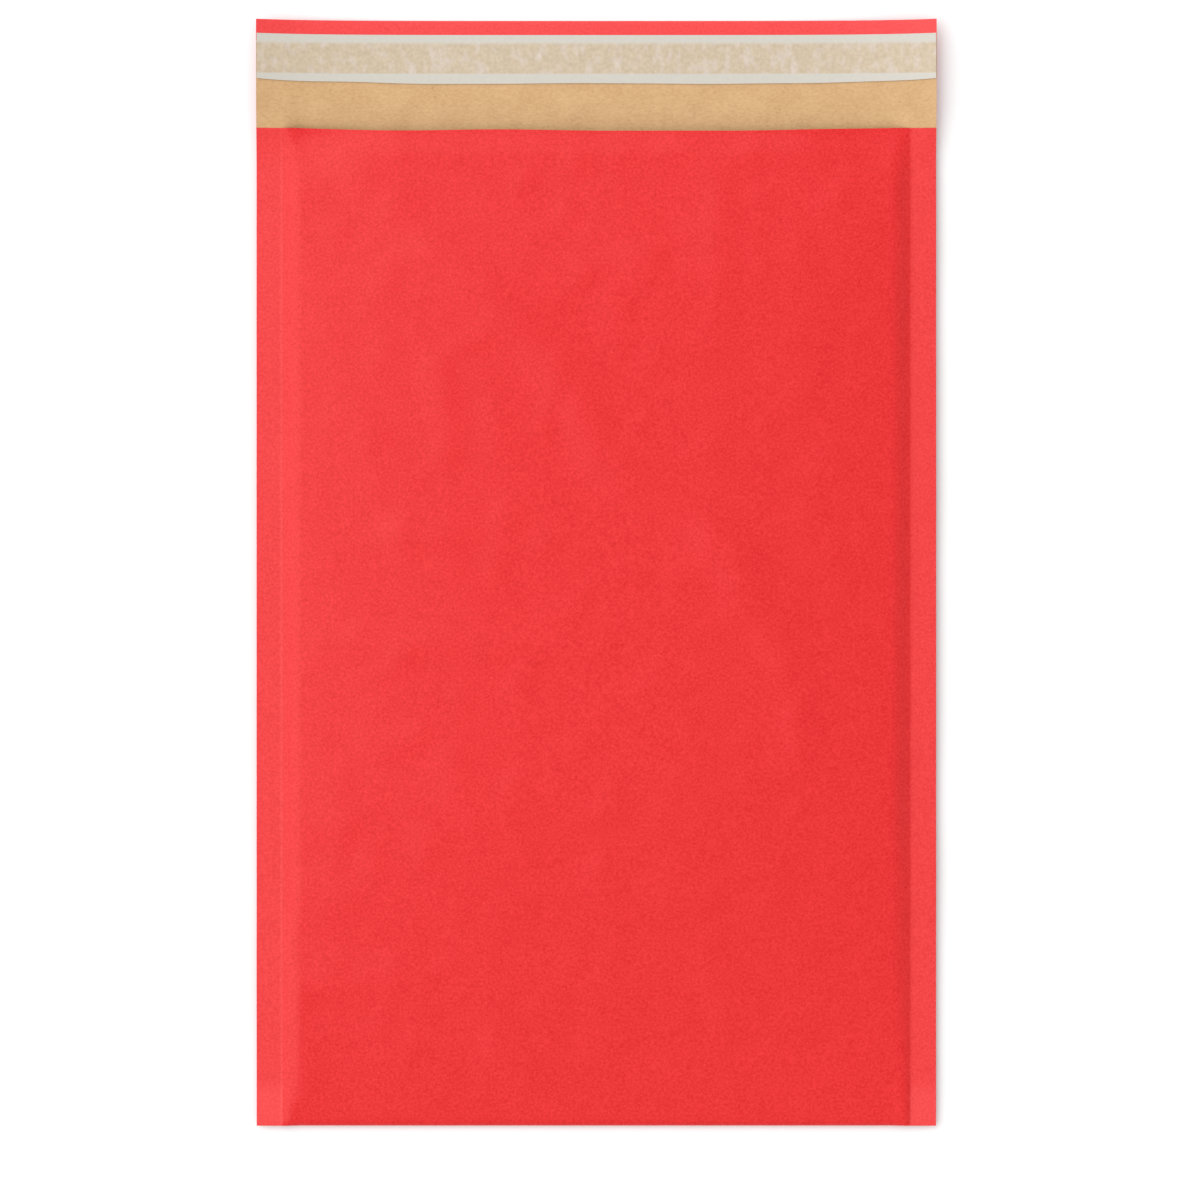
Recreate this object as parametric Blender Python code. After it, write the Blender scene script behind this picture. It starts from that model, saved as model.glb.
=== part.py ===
"""A padded mailing envelope, lying open on its back with the flap unfolded.

One sheet of paper is folded at the bottom and welded along both sides. Its back panel runs on past the lip
of the front panel as the flap, whose tip is turned over into a hem. A folded pouch of bubble film lines the
inside, and the flap carries a strip of adhesive under a release liner.

X runs across the envelope, +Y from the bottom fold to the flap's tip and +Z up, out of the front panel.
The origin is on the floor, under the middle of the whole length and width. Sizes are in metres.
"""

from math import cos, pi, sin

import bmesh
import bpy

# Driving dimensions: the paper
WIDTH = 0.240  # over both side seams
BODY_LENGTH = 0.3524  # bottom fold to the front panel's lip, along a seam
FLAP_LENGTH = 0.0381  # lip to tip, on the centre line
SEAM_WIDTH = 0.0092
SEAM_HEIGHT = 0.003  # middle of a seam above the floor
PAPER = 0.0002  # one ply
HEM_DEPTH = 0.0074  # the turned-over tip
CORNER_RISE = 0.0046  # the tip's corners lie this much higher than its middle: the flap is slightly dished
LIP_SAG = 0.00135  # the bulging front panel draws its lip back by this much in the middle
WALL_RUN = 0.0068  # from a seam's inner line to where the panels level out
FOLD_RUN = 0.003  # depth of the rounded bottom fold

# Driving dimensions: the bubble lining
FILM = 0.0003  # two flat films where the bubbles are crushed at an edge
PAD = 0.0024  # one wall of full bubbles
PAD_AT_FOLD = 0.0011  # one wall where it is creased at the bottom
FOLD_EASE = 0.120  # from the bottom fold to the full thickness and the full clear height
FILM_INSET = 0.0016  # lining's side edge in from the seam's inner line
FILM_WELD = 0.002  # its side weld
FILM_SETBACK = 0.003  # its top edge back from the lip
MOUTH_GAPE = 0.0050  # clear height between its two walls on the centre line

# Driving dimensions: the strips on the flap
HEM_SHOWING = 0.005  # tip to the release liner
ADHESIVE_WIDTH = 0.011
ADHESIVE_SETBACK = 0.0003  # in from the hem's raw edge
ADHESIVE = 0.0002  # thickness
LINER_TAB = 0.0036  # liner past the adhesive, for peeling it
LINER_BOW = 0.0013  # the tab narrows by this much towards its corners
LINER = 0.00015  # thickness

CONTACT_GAP = 0.0003  # between pieces that touch

# Form of the curves
GAPE_POWER = 2.6  # the front panel's arch
DISH_POWER = 6.0  # the flap's dished corners
TAB_POWER = 4.5  # the liner's narrowed corners
FOLD_POWER = 1.5  # the rise from the bottom fold: 1 is straight, 2 is steep at the fold
WALL_STEEPNESS = 0.73  # the lining's side edges: 0 is an S curve, 1 is steep at the weld
FLAP_EASE_SHARE = 0.5  # of the bare flap: the seams' flat edges have turned into the dished corners by there

# Mesh stations
WALL_COLUMNS = 3  # between the lining's side weld and the end of the wall run
CORE_COLUMNS = 10  # from there to the centre line
COLUMN_CROWDING = 1.5
BODY_ROWS = 14  # between the bottom fold and the lining's top edge
ROW_CROWDING = 1.5
FLAP_ROWS = 5  # on the bare part of the flap
FOLD_STEPS = 8  # around the bottom fold, an even number
WELD_DISTANCE = 0.000001

# Derived places
HALF_WIDTH = WIDTH / 2
SEAM_LINE = HALF_WIDTH - SEAM_WIDTH
FILM_EDGE = SEAM_LINE - FILM_INSET
FILM_CREASE = FILM_EDGE - FILM_WELD
FOLD_Y = -(BODY_LENGTH + FLAP_LENGTH) / 2
NOSE_Y = FOLD_Y + FOLD_RUN
LIP_Y = FOLD_Y + BODY_LENGTH
TIP_Y = LIP_Y + FLAP_LENGTH
HEM_Y = TIP_Y - HEM_DEPTH
ADHESIVE_TOP_Y = HEM_Y - ADHESIVE_SETBACK
ADHESIVE_FOOT_Y = ADHESIVE_TOP_Y - ADHESIVE_WIDTH
LINER_TOP_Y = TIP_Y - HEM_SHOWING
LINER_FOOT_Y = ADHESIVE_FOOT_Y - LINER_TAB
BARE_FLAP = LINER_FOOT_Y - LIP_Y
FLAP_EASE = BARE_FLAP * FLAP_EASE_SHARE


def clamp(u):
    return min(1.0, max(0.0, u))


def smooth(u):
    u = clamp(u)
    return u * u * (3.0 - 2.0 * u)


def shoulder(u, power=2.0):
    """A rise that is steep at 0 and level at 1."""
    return 1.0 - (1.0 - clamp(u)) ** power


def mix(a, b, share):
    return a + (b - a) * share


# Form of the layers: each height depends only on the place in plan, so the layers can't cross


def arch(x):
    """1 on the centre line, 0 from the lining's side welds outwards."""
    return max(0.0, 1.0 - (abs(x) / FILM_CREASE) ** GAPE_POWER)


def rise(y):
    """0 at the bottom fold, 1 where the lining has its full thickness and clear height."""
    return shoulder((y - NOSE_Y) / FOLD_EASE, FOLD_POWER)


def pad(x, y):
    """Thickness of one wall of the lining."""
    inwards = (FILM_EDGE - abs(x)) / (WALL_RUN - FILM_INSET)
    full = mix(PAD_AT_FOLD, PAD, rise(y))
    return mix(FILM, full, mix(smooth(inwards), shoulder(inwards), WALL_STEEPNESS))


def gape(x, y):
    """Clear height inside the lining."""
    return MOUTH_GAPE * arch(x) * rise(y)


def hollow(x, y):
    """Clear height between the paper's inner faces."""
    opening = clamp((SEAM_LINE - abs(x)) / FILM_INSET)
    return opening * 2.0 * (CONTACT_GAP + pad(x, y)) + gape(x, y)


def back_face(x, y):
    """The back panel's underside: on the floor in the middle, up at the seams, dished along the flap."""
    body = (SEAM_HEIGHT - PAPER) * (1.0 - smooth((SEAM_LINE - abs(x)) / WALL_RUN))
    flap = CORNER_RISE * (abs(x) / HALF_WIDTH) ** DISH_POWER
    return mix(body, flap, smooth((y - LIP_Y) / FLAP_EASE))


def front_face(x, y):
    """The front panel's upper side."""
    return back_face(x, y) + PAPER + hollow(x, y) + PAPER


def back_point(x, y, depth):
    """A point this far above the back panel's outer face."""
    return (x, y, back_face(x, y) + depth)


def front_point(x, y, depth):
    """A point this far below the front panel's outer face."""
    sag = LIP_SAG * arch(x) * (y - NOSE_Y) / (LIP_Y - NOSE_Y)
    return (x, y - sag, front_face(x, y) - depth)


def fold_points(x, depth):
    """Points round the bottom fold, this far inside its outer face, from the front panel to the back one."""
    low = back_face(x, NOSE_Y)
    half_height = (front_face(x, NOSE_Y) - low) / 2
    points = []
    for step in range(1, FOLD_STEPS):
        turn = pi / 2 - pi * step / FOLD_STEPS
        y = NOSE_Y - (FOLD_RUN - depth) * cos(turn)
        points.append((x, y, low + half_height + (half_height - depth) * sin(turn)))
    return points


# Stations of the mesh, shared by the paper and the film so that their faces stay parallel


def columns():
    """Places across the envelope, from its left edge to its right one."""
    level = SEAM_LINE - WALL_RUN
    right = [HALF_WIDTH, SEAM_LINE, FILM_EDGE]
    right += [mix(FILM_CREASE, level, step / WALL_COLUMNS) for step in range(WALL_COLUMNS)]
    right += [level * (1.0 - (step / CORE_COLUMNS) ** COLUMN_CROWDING) for step in range(CORE_COLUMNS + 1)]
    return [-x for x in right] + right[-2::-1]


def body_rows():
    """Places along the body, from the bottom fold's centre line to the lining's top edge."""
    reach = LIP_Y - FILM_SETBACK - NOSE_Y
    return [NOSE_Y + reach * (step / BODY_ROWS) ** ROW_CROWDING for step in range(BODY_ROWS + 1)]


def outline(x, rows, depth):
    """One line of points this far inside the outer face: down the front, round the fold and up the back."""
    front = [front_point(x, y, depth) for y in reversed(rows)]
    back = [back_point(x, y, depth) for y in rows]
    return front + fold_points(x, depth) + back


# Mesh building


def skin(bm, lines, fold=0):
    """Triangles between neighbouring lines of points. Cells before index fold are split the other way, so
    that the front panel's triangles lie above the back panel's, and the right half mirrors the left."""
    grid = [[bm.verts.new(point) for point in line] for line in lines]
    for i, (left, right) in enumerate(zip(grid, grid[1:])):
        for k in range(len(left) - 1):
            a, b, c, d = left[k], right[k], right[k + 1], left[k + 1]
            if (k < fold) != (i >= len(lines) // 2):
                a, b, c, d = b, c, d, a
            bm.faces.new((a, b, c))
            bm.faces.new((a, c, d))


def close_side(bm, line):
    """Closes the side of a folded piece between its front and back edges, through the line midway."""
    half = len(line) // 2
    back = line[::-1]
    middle = [tuple((a + b) / 2 for a, b in zip(p, q)) for p, q in zip(line, back)]
    skin(bm, [line[: half + 1], middle[: half + 1], back[: half + 1]])


def finish(bm, name, colour, roughness, smooth_angle):
    """Joins the skins into one closed body and makes the object."""
    bmesh.ops.remove_doubles(bm, verts=bm.verts, dist=WELD_DISTANCE)
    bmesh.ops.recalc_face_normals(bm, faces=bm.faces)
    mesh = bpy.data.meshes.new(name)
    bm.to_mesh(mesh)
    bm.free()
    mesh.shade_smooth()
    mesh.set_sharp_from_angle(angle=smooth_angle)
    material = bpy.data.materials.new(name)
    material.use_nodes = True
    shader = material.node_tree.nodes["Principled BSDF"]
    shader.inputs["Base Color"].default_value = (*colour, 1.0)
    shader.inputs["Roughness"].default_value = roughness
    shader.inputs["Metallic"].default_value = 0.0
    mesh.materials.append(material)
    piece = bpy.data.objects.new(name, mesh)
    bpy.context.scene.collection.objects.link(piece)
    return piece


# The pieces


def flap_rows():
    """Places along the flap, from the lip to the tip, with the hem's raw edge."""
    bare = [LIP_Y + BARE_FLAP * step / FLAP_ROWS for step in range(FLAP_ROWS + 1)]
    return bare + [HEM_Y, TIP_Y]


def outer_envelope():
    """The folded paper: two panels, the fold, the welded seams, and the flap with its hem."""
    bm = bmesh.new()
    places = columns()
    rows = body_rows() + [LIP_Y]
    fold = len(rows) - 1
    outside = [outline(x, rows, 0.0) for x in places]
    inside = [outline(x, rows, PAPER) for x in places]
    skin(bm, outside, fold)
    skin(bm, inside[1:-1], fold)
    skin(bm, [[line[0] for line in outside], [line[0] for line in inside]])  # the lip
    close_side(bm, outside[0])
    close_side(bm, outside[-1])

    under, upper = [], []
    for x in places:
        low = [back_point(x, y, 0.0) for y in flap_rows()]
        top = [back_point(x, y, PAPER) for y in flap_rows()[:-1]]
        top += [back_point(x, y, 2 * PAPER) for y in (HEM_Y, TIP_Y)]
        under.append(low[:-1] + low[-2:])  # the hem's edge twice, to match the step above it
        upper.append(top)
    skin(bm, under)
    skin(bm, upper)
    skin(bm, [under[0], upper[0]])
    skin(bm, [under[-1], upper[-1]])
    skin(bm, [[line[-1] for line in under], [line[-1] for line in upper]])  # the tip
    return finish(bm, "outer_envelope", (0.80, 0.045, 0.045), 0.6, pi / 5)


def bubble_lining():
    """The folded film pouch, open at its top, as one closed body of its real outer size."""
    bm = bmesh.new()
    places = columns()[2:-2]
    rows = body_rows()
    depth = PAPER + CONTACT_GAP
    outside = [outline(x, rows, depth) for x in places]
    skin(bm, outside, len(rows) - 1)
    close_side(bm, outside[0])
    close_side(bm, outside[-1])

    inside = []
    for x in places[1:-1]:
        front = [front_point(x, y, depth + pad(x, y)) for y in reversed(rows)]
        back = [back_point(x, y, depth + pad(x, y)) for y in rows]
        inside.append(front + back[1:])
    skin(bm, inside, len(rows) - 1)

    for end in (0, -1):
        outer_line = [line[end] for line in outside]
        inner_line = [line[end] for line in inside]
        corners = [tuple((a + b) / 2 for a, b in zip(line[0], line[-1])) for line in (outside[0], outside[-1])]
        skin(bm, [outer_line, [corners[0]] + inner_line + [corners[1]]])
    return finish(bm, "bubble_lining", (0.80, 0.82, 0.84), 0.25, pi / 5)


def flap_strip(name, foot_y, top_y, foot_bow, lift, thickness, colour, roughness):
    """A strip across the flap, this high above its inner face. The foot's corners lie foot_bow further up."""
    bm = bmesh.new()
    rings = []
    for x in columns():
        foot = foot_y + foot_bow * (abs(x) / HALF_WIDTH) ** TAB_POWER
        low, high = PAPER + lift, PAPER + lift + thickness
        corners = [(foot, low), (top_y, low), (top_y, high), (foot, high)]
        rings.append([back_point(x, y, depth) for y, depth in corners + corners[:1]])
    skin(bm, rings)
    for ring in (rings[0], rings[-1]):
        skin(bm, [ring[0:2], [ring[3], ring[2]]])
    return finish(bm, name, colour, roughness, pi / 5)


def adhesive_strip():
    lift = CONTACT_GAP
    colour = (0.60, 0.42, 0.24)
    return flap_strip("adhesive_strip", ADHESIVE_FOOT_Y, ADHESIVE_TOP_Y, 0.0, lift, ADHESIVE, colour, 0.35)


def release_liner():
    """Lies over the adhesive, and over part of the hem."""
    lift = max(CONTACT_GAP + ADHESIVE, PAPER) + CONTACT_GAP
    colour = (0.70, 0.67, 0.62)
    return flap_strip("release_liner", LINER_FOOT_Y, LINER_TOP_Y, LINER_BOW, lift, LINER, colour, 0.4)


def main():
    for old in list(bpy.data.objects):
        bpy.data.objects.remove(old, do_unlink=True)
    outer_envelope()
    bubble_lining()
    adhesive_strip()
    release_liner()


main()
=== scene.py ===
# A padded mailing envelope, lying open on its back with the flap unfolded.
# X runs across it, +Y from the bottom fold to the flap's tip, and +Z up. Blender's unit is the metre.
from math import cos, pi, radians, sin

import bmesh
import bpy
import numpy as np
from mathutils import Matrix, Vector


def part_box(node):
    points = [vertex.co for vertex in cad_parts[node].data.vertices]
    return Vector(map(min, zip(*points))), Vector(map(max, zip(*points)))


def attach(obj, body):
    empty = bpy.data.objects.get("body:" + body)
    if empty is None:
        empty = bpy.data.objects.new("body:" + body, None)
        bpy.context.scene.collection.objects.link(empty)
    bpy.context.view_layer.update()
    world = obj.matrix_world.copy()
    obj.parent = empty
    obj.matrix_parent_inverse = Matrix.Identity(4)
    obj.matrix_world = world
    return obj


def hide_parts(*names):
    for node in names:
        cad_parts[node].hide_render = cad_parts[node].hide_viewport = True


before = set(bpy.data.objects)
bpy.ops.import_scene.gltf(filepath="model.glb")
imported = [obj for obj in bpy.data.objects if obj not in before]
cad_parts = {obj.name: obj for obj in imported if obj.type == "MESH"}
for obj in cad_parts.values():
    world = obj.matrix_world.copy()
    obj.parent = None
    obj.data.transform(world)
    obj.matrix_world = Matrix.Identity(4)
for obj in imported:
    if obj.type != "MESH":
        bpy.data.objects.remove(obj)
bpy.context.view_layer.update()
mm = 0.001
print("frame loaded:", ", ".join(sorted(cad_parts)))

# Where the CAD nodes are: every piece below is laid out from these
paperLow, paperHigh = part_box("outer_envelope")
filmLow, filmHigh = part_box("bubble_lining")
glueLow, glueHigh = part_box("adhesive_strip")
linerLow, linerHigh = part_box("release_liner")

envelope = {
    "paper": 0.2 * mm,  # one ply
    "seamWidth": 9.2 * mm,  # the welded edge on each side
    "seamHeight": 3.0 * mm,  # middle of a seam above the floor
    "seamAtFold": 0.72,  # the seams come down to this share of their height at the bottom fold
    "seamWave": 0.12 * mm,  # the seams rise and fall a little
    "seamWaveSpans": (35 * mm, 90 * mm),
    "sideShift": 0.3,  # so that the two seams don't wave alike
    "wallRun": 6.8 * mm,  # from a seam's inner line to where the panels level out
    "foldRun": 3.0 * mm,  # depth of the rounded bottom fold
    "foldEase": 120 * mm,  # from the bottom fold to the full thickness
    "foldPower": 1.5,  # the rise from the fold: 1 is straight, 2 is steep at the fold
    "gape": 3.7 * mm,  # clear height inside the pouch, on the centre line
    "gapePower": 2.6,  # its outline across: higher is flatter in the middle
    "gapeInset": 2 * mm,  # the gape closes this far inside the lining's welds
    "mouthShare": 0.3,  # of the gape is left at the lip
    "mouthEase": 60 * mm,  # the front comes down over this length, towards the lip
    "lipToFilm": 3.0 * mm,  # the lining stops this far short of the lip
    "lipPinch": 0.3,  # share of the lining's thickness that is lost at the lip
    "lipEase": 9 * mm,  # over this length before the lip
    "lipSag": 1.15 * mm,  # how far the bulging front draws its lip back in the middle
    "lipWave": 0.25 * mm,  # the lip isn't quite straight
    "lipWaveSpans": (60 * mm, 130 * mm),
    "lipWaveFrom": 0.9,  # share of the body's length where the wave begins
    "cornerPinch": 0.45,  # share of the clear height that is lost at the mouth's corners
    "cornerInset": 6 * mm,
    "cornerRun": 36 * mm,  # how far the pinch reaches across
    "cornerEase": 20 * mm,  # how far it reaches down from the lip
    "flapEase": 12 * mm,  # the flap's dish begins this far before the lip and is full this far past it
    "flapLift": 0.3 * mm,  # the flap's middle above the floor
    "cornerRise": 5.8 * mm,  # the flap is dished, with its corners up
    "dishPower": 4.6,  # higher keeps the dish to the corners
    "cornerBow": 0.25 * mm,  # the flap's corners also reach this much further out
    "bowPower": 10,
    "hemDepth": 7.4 * mm,  # the tip is turned over by this much
    "hemGap": 0.1 * mm,  # between the hem and the flap under it
    "tipRun": 0.3 * mm,  # the hem's turn begins this far from the tip
    "tipStretch": 1.2,  # the turn is deeper than it is high
    # unevenness of the front: height and spans of the waves, and their directions in degrees
    "mottle": [
        (0.04 * mm, (26 * mm, 50 * mm), (20, 70)),
        (0.012 * mm, (9 * mm, 18 * mm), (0, 180)),
    ],
    "reliefRun": 7 * mm,  # folds and unevenness begin over this much inside the seams
    "reliefFromFold": 8 * mm,
    # slight hollows of the back, above the floor
    "backHollow": 0.12 * mm,
    "backSpans": (14 * mm, 40 * mm),
    "backLevel": 0.2,  # waves lower than this stay on the floor
    "backInset": 6 * mm,
    "backRun": 14 * mm,
    "backFromFold": 30 * mm,
    "seeds": {"mottle": 2, "seam": 3, "lip": 9, "back": 21},
    # where the paler red begins and where it is full: paler ink from the seam line outwards, and a painted
    # highlight from the bottom fold up along the seams and from the lip up over the hem
    "seamInk": (-0.1 * mm, 0.3 * mm),
    "footHighlight": (17 * mm, 11 * mm),
    "hemHighlight": (0.0, 0.2 * mm),
}
# Soft folds of the front panel, all in millimetres: half width, height (below 0 for a valley),
# and the points that the crest runs through
frontFolds = [
    (6, 0.68, [
        (-86, 144), (-48, 108), (-24, 85), (-8, 66), (1, 44),
        (14, 30), (34, 17), (50, 4), (62, -16), (74, -60),
    ]),
    (5.6, 0.8, [(42, 12), (52, -1)]),
    (4.6, 0.22, [(-94, -24), (-2, -27)]),
    (3.8, 0.27, [(43, 135), (43, 93)]),
    (4.9, 0.27, [(72, 119), (72, 64)]),
    (4.2, 0.26, [(6, 96), (8, 80)]),
    (3.2, 0.26, [(-105, -88), (-89, -91)]),
    (3.5, 0.26, [(-105, -113), (-89, -116)]),
    (3.5, 0.25, [(-105, -145), (-62, -145)]),
    (3.2, -0.18, [(-105, -102), (-87, -102)]),
    (3.9, -0.25, [(-105, -130), (-59, -133)]),
    (3.2, -0.18, [(-105, -156), (-76, -156)]),
    (4.2, 0.46, [(-34, -169), (-26, -174)]),
    (4.6, 0.41, [(-9, -142), (7, -153)]),
    (6.4, 0.41, [(5, -110), (33, -117)]),
    (4.9, -0.26, [(68, -80), (75, -112)]),
    (5.3, 0.41, [(-50, -77), (-27, -98)]),
    (4.2, 0.2, [(-69, 15), (-52, 12)]),
    (3.9, 0.2, [(-53, 64), (-53, 47)]),
    (3.5, -0.2, [(67, 40), (68, 26)]),
    (4.9, 0.26, [(72, 19), (86, -1)]),
    (4.2, 0.41, [(-105, -151), (-104, -186)]),
    (4.9, 0.26, [(61, -117), (77, -128)]),
    (4.6, 0.35, [(38, -139), (49, -153)]),
    (2.8, 0.26, [(102, -13), (103, -17)]),
    (4.6, 0.2, [(-92, -75), (-89, -86)]),
    (4.2, -0.2, [(25, 123), (27, 112)]),
    (4.2, 0.2, [(89, 119), (90, 109)]),
    (4.6, 0.2, [(22, -40), (27, -45)]),
]
lining = {
    "weld": 0.3 * mm,  # half the thickness of its crushed side weld
    "film": 0.12 * mm,
    "edgeRun": 1.2 * mm,  # the film comes together over this much at its sides
    "pad": 2.5 * mm,  # one wall of full bubbles
    "padAtFold": 1.2 * mm,
    "wallSteepness": 0.73,  # its side edges: 0 is an S curve, 1 is steep at the weld
    "gap": 0.2 * mm,  # to the paper
    "room": 0.3 * mm,  # kept between one wall's thickness and the paper
    "bubbleWidth": 10 * mm,
    "bubblePitch": 11.5 * mm,
    "bubbleHeight": 2.2 * mm,
    "bubbleMargin": 5.6 * mm,  # from the film's edges to the nearest bubble's middle
    "mouthMargin": 7.2 * mm,  # the same at the mouth
    "bubbleSlack": 0.1 * mm,  # half the room between the bubbles of the two walls
    "squareness": 0.5,  # power of the dome's outline: lower is squarer
    "widthJitter": 0.04,
    "seed": 7,
    "middleMargin": 1 * mm,  # the sheet between the walls runs past the fold's start by this much
    "rayStart": 0.05,  # well above the envelope
    "rayLength": 0.1,
}


# Form of the layers: each height depends only on the place in plan, so the layers can't cross

halfWidth = paperHigh.x
foldY = paperLow.y
tipY = paperHigh.y
filmEdge = filmHigh.x
lipY = filmHigh.y + envelope["lipToFilm"]
noseY = foldY + envelope["foldRun"]
seamLine = halfWidth - envelope["seamWidth"]
hemY = tipY - envelope["hemDepth"]
ply = envelope["paper"]


def smooth(u):
    u = np.clip(u, 0.0, 1.0)
    return u * u * (3.0 - 2.0 * u)


def shoulder(u, power=2.0):
    # a rise that is steep at 0 and level at 1
    return 1.0 - (1.0 - np.clip(u, 0.0, 1.0)) ** power


def mix(a, b, share):
    return a + (b - a) * share


def ripple(x, y, spans, seed, count=60, turns=(0, 180)):
    # a smooth uneven field of about unit height, the sum of many small waves
    draw = np.random.default_rng(seed)
    field = np.zeros(np.broadcast(x, y).shape)
    for _ in range(count):
        turn, phase = radians(draw.uniform(*turns)), draw.uniform(0, 2 * pi)
        span = draw.uniform(*spans)
        field += np.cos(2 * pi * (x * cos(turn) + y * sin(turn)) / span + phase)
    return field * (2 / count) ** 0.5


def folds(x, y):
    # height of the soft folds: each falls off with the distance to its crest
    height = np.zeros(np.broadcast(x, y).shape)
    for width, rise, points in frontFolds:
        nearest = np.full_like(height, np.inf)
        for (startX, startY), (endX, endY) in zip(points, points[1:]):
            lengthX, lengthY = endX - startX, endY - startY
            along = ((x / mm - startX) * lengthX + (y / mm - startY) * lengthY) / (lengthX**2 + lengthY**2)
            along = np.clip(along, 0.0, 1.0)
            offX = x / mm - startX - along * lengthX
            offY = y / mm - startY - along * lengthY
            nearest = np.minimum(nearest, offX**2 + offY**2)
        height += rise * mm * np.exp(-nearest / (2 * width**2))
    return height


def arch(x):
    # 1 on the centre line, 0 just inside the lining's side welds
    share = np.abs(x) / (filmEdge - envelope["gapeInset"])
    return np.clip(1.0 - share ** envelope["gapePower"], 0.0, 1.0)


def riseAt(y):
    # 0 at the bottom fold, 1 where the envelope has its full thickness
    return shoulder((y - noseY) / envelope["foldEase"], envelope["foldPower"])


def padAt(x, y):
    # thickness of one wall of the lining
    inwards = (filmEdge - np.abs(x)) / (envelope["wallRun"] - (seamLine - filmEdge))
    full = mix(lining["padAtFold"], lining["pad"], riseAt(y))
    full = full * (1.0 - envelope["lipPinch"] * smooth((y - lipY) / envelope["lipEase"] + 1.0))
    return mix(lining["weld"], full, mix(smooth(inwards), shoulder(inwards), lining["wallSteepness"]))


def hollow(x, y):
    # clear height between the paper's inner faces
    inwards = seamLine - np.abs(x)
    opening = np.clip(inwards / (seamLine - filmEdge), 0.0, 1.0)
    gape = envelope["gape"] * arch(x) * riseAt(y)
    gape = gape * mix(1.0, envelope["mouthShare"], smooth((y - lipY) / envelope["mouthEase"] + 1.0))
    corner = 1.0 - smooth((inwards - envelope["cornerInset"]) / envelope["cornerRun"])
    pinch = envelope["cornerPinch"] * corner * smooth((y - lipY) / envelope["cornerEase"] + 1.0)
    return (opening * 2 * (lining["room"] + padAt(x, y)) + gape) * (1.0 - pinch)


def backFace(x, y):
    # the back panel's underside
    seeds = envelope["seeds"]
    inwards = seamLine - np.abs(x)
    shift = np.sign(x) * envelope["sideShift"]
    wave = envelope["seamWave"] * ripple(shift, y, envelope["seamWaveSpans"], seeds["seam"], 8)
    seam = (envelope["seamHeight"] - ply) * mix(envelope["seamAtFold"], 1.0, riseAt(y)) + wave
    body = seam * (1.0 - smooth(inwards / envelope["wallRun"]))
    waves = ripple(x, y, envelope["backSpans"], seeds["back"]) - envelope["backLevel"]
    hollows = envelope["backHollow"] * np.clip(waves, 0.0, 2.0)
    across = smooth((inwards - envelope["backInset"]) / envelope["backRun"])
    body = body + hollows * across * smooth((y - noseY) / envelope["backFromFold"])
    dish = (np.abs(x) / halfWidth) ** envelope["dishPower"]
    flap = envelope["flapLift"] + envelope["cornerRise"] * dish
    return mix(body, flap, smooth((y - lipY) / envelope["flapEase"] / 2 + 0.5))


def frontFace(x, y):
    # the front panel's upper side
    inwards = seamLine - np.abs(x)
    relief = folds(x, y)
    for seed, (height, spans, turns) in enumerate(envelope["mottle"], envelope["seeds"]["mottle"]):
        relief = relief + height * ripple(x, y, spans, seed, turns=turns)
    relief = relief * smooth(inwards / envelope["reliefRun"])
    relief = relief * smooth((y - noseY) / envelope["reliefFromFold"])
    return backFace(x, y) + ply + hollow(x, y) + relief + ply


def frontPoints(x, y, depth):
    # points this far below the front panel's outer face
    reach = (y - noseY) / (lipY - noseY)
    wave = envelope["lipWave"] * ripple(x, 0.0, envelope["lipWaveSpans"], envelope["seeds"]["lip"], 6)
    wave = wave * smooth((reach - envelope["lipWaveFrom"]) / 0.1)
    sag = (envelope["lipSag"] * reach + wave) * arch(x)
    return np.stack([x, y - sag, frontFace(x, y) - depth], axis=-1)


def drawn(x, y):
    # the flap's lines bow out towards its corners
    share = smooth((y - lipY) / envelope["flapEase"])
    return y + envelope["cornerBow"] * (np.abs(x) / halfWidth) ** envelope["bowPower"] * share


def backPoints(x, y, depth):
    # points this far above the back panel's outer face
    return np.stack([x, drawn(x, y), backFace(x, y) + depth], axis=-1)


def foldPoints(x, depth):
    # points round the bottom fold, from the front panel to the back one
    low = backFace(x, noseY)
    halfHeight = (frontFace(x, noseY) - low) / 2
    rows = []
    for step in range(1, foldSteps):
        turn = pi / 2 - pi * step / foldSteps
        y = noseY - (envelope["foldRun"] - depth) * cos(turn)
        z = low + halfHeight + (halfHeight - depth) * sin(turn)
        rows.append(np.stack([x, np.full_like(x, y), z], axis=-1))
    return np.stack(rows, axis=1)


# Stations of the meshes: the distance between them, and for some the span that it covers

spacing = {
    "seam": 1.2 * mm,
    "wall": 0.75 * mm,
    "wallSpan": 10.5 * mm,
    "front": 2.2 * mm,
    "nose": 1.5 * mm,
    "noseSpan": 12 * mm,
    "body": 2.3 * mm,
    "lip": 1.3 * mm,
    "lipSpan": 8 * mm,
    "flap": 2.0 * mm,
    "underLiner": 1.8 * mm,  # also on the hem
    "hem": 1.5 * mm,
    "filmEdge": 1.0 * mm,
    "filmEdgeSpan": 9 * mm,
    "film": 3.2 * mm,
    "middleAcross": 1.2 * mm,
    "middleAlong": 3 * mm,
    "adhesive": 1.5 * mm,
    "liner": 0.55 * mm,
}
foldSteps = 10  # steps round the bottom fold
tipRows = 5  # rows round the hem's turn


def spread(start, end, step):
    # evenly spaced places about this far apart, without the last one
    count = max(1, round(abs(end - start) / step))
    return [start + (end - start) * i / count for i in range(count)]


def mirrored(half):
    # half runs from the edge inwards to 0
    return np.array([-x for x in half] + half[-2::-1])


def bodyRows(topY):
    noseEnd, lipStart = noseY + spacing["noseSpan"], lipY - spacing["lipSpan"]
    rows = spread(noseY, noseEnd, spacing["nose"]) + spread(noseEnd, lipStart, spacing["body"])
    rows = rows + spread(lipStart, topY, spacing["lip"]) + [topY]
    return np.array(rows)


# Mesh building


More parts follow.
